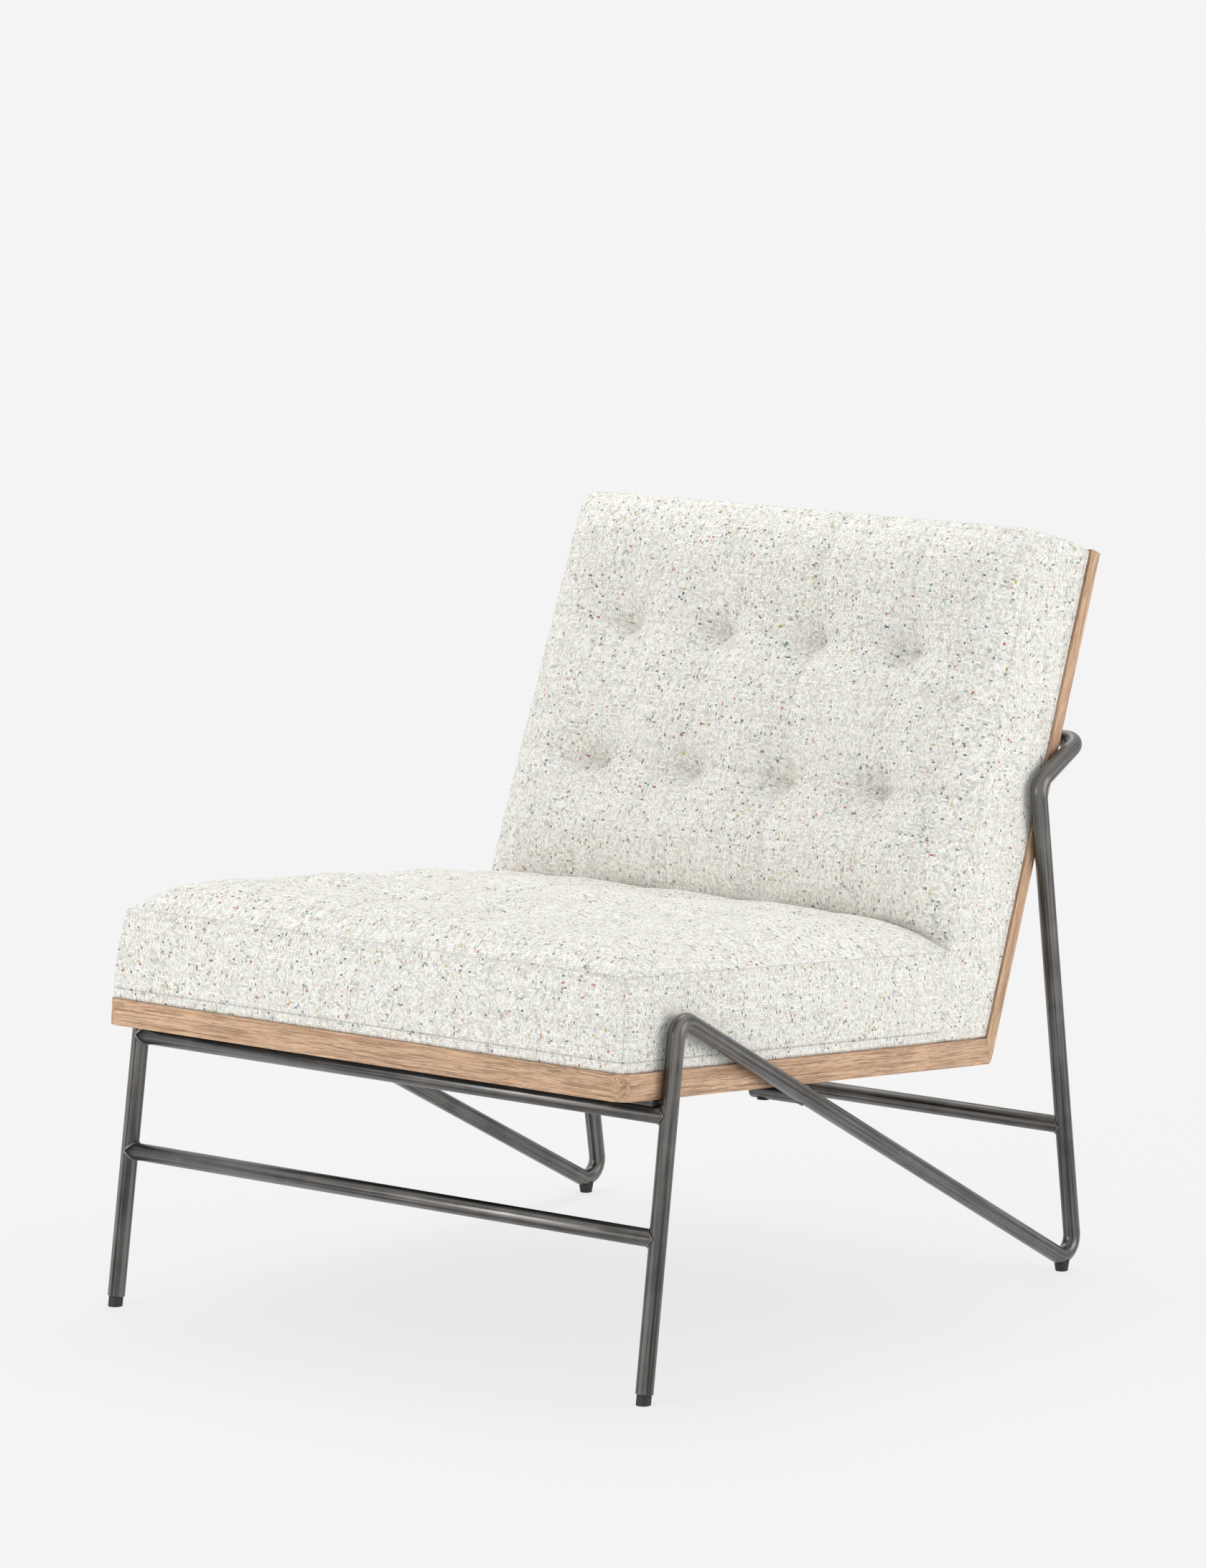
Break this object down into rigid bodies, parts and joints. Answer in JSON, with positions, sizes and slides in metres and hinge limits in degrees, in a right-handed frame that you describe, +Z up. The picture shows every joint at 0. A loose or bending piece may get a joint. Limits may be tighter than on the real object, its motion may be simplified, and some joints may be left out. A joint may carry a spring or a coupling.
{
  "type": "lounge chair",
  "caption": "Armless lounge chair: tufted seat and back cushions in a show-wood frame, carried by a bent steel tube base with crossing braces and a bar behind the back.",
  "frame": {"origin": "on the floor, under the middle of the chair's bounding box", "axes": "+X to the right for someone facing the chair's front, +Y from the front to the rear, +Z up; the front faces -Y"},
  "size_m": [0.712, 0.8446, 0.7891],
  "materials": {
    "steel": "satin, brushed",
    "oak": "satin",
    "birch": "unfinished",
    "cloth": "woven tweed",
    "dust_cloth": "non-woven",
    "webbing": "woven strap",
    "twine": "twisted",
    "foam": "open cell",
    "plate": "satin black",
    "screw": "black zinc",
    "foot": "matt"
  },
  "bodies": {
    "root": {"front_leg_right": "steel", "front_leg_left": "steel", "top_bend_right": "steel", "top_bend_left": "steel", "side_brace_right": "steel", "side_brace_left": "steel", "floor_bend_right": "steel", "floor_bend_left": "steel", "rear_leg_right": "steel", "rear_leg_left": "steel", "back_arm_right": "steel", "back_arm_left": "steel", "back_bar": "steel", "front_top_bar": "steel", "front_low_bar": "steel", "rear_low_bar": "steel", "seat_lug_right": "steel", "seat_lug_left": "steel", "front_plate_right": "plate", "front_plate_left": "plate", "back_lug_right": "steel", "back_lug_left": "steel", "front_foot_right": "foot", "front_foot_left": "foot", "rear_foot_right": "foot", "rear_foot_left": "foot", "front_rail": "oak", "side_rail_right": "oak", "side_rail_left": "oak", "rear_rail": "oak", "back_stile_right": "oak", "back_stile_left": "oak", "back_top_rail": "oak", "back_mid_rail": "birch", "corner_block_right": "birch", "corner_block_left": "birch", "lug_block_right": "birch", "lug_block_left": "birch", "seat_board_front": "birch", "seat_board_rear": "birch", "seat_board_right": "birch", "seat_board_left": "birch", "back_board_bottom": "birch", "back_board_top": "birch", "back_board_right": "birch", "back_board_left": "birch", "seat_straps_long": "webbing", "seat_straps_cross": "webbing", "back_straps_long": "webbing", "back_straps_cross": "webbing", "seat_foam": "foam", "back_foam": "foam", "seat_tuft_ties": "twine", "back_tuft_ties": "twine", "seat_cover": "cloth", "back_cover": "cloth", "outside_back": "cloth", "dust_cover": "dust_cloth", "seat_screws": "screw", "back_screws": "screw"}
  },
  "joints": []
}
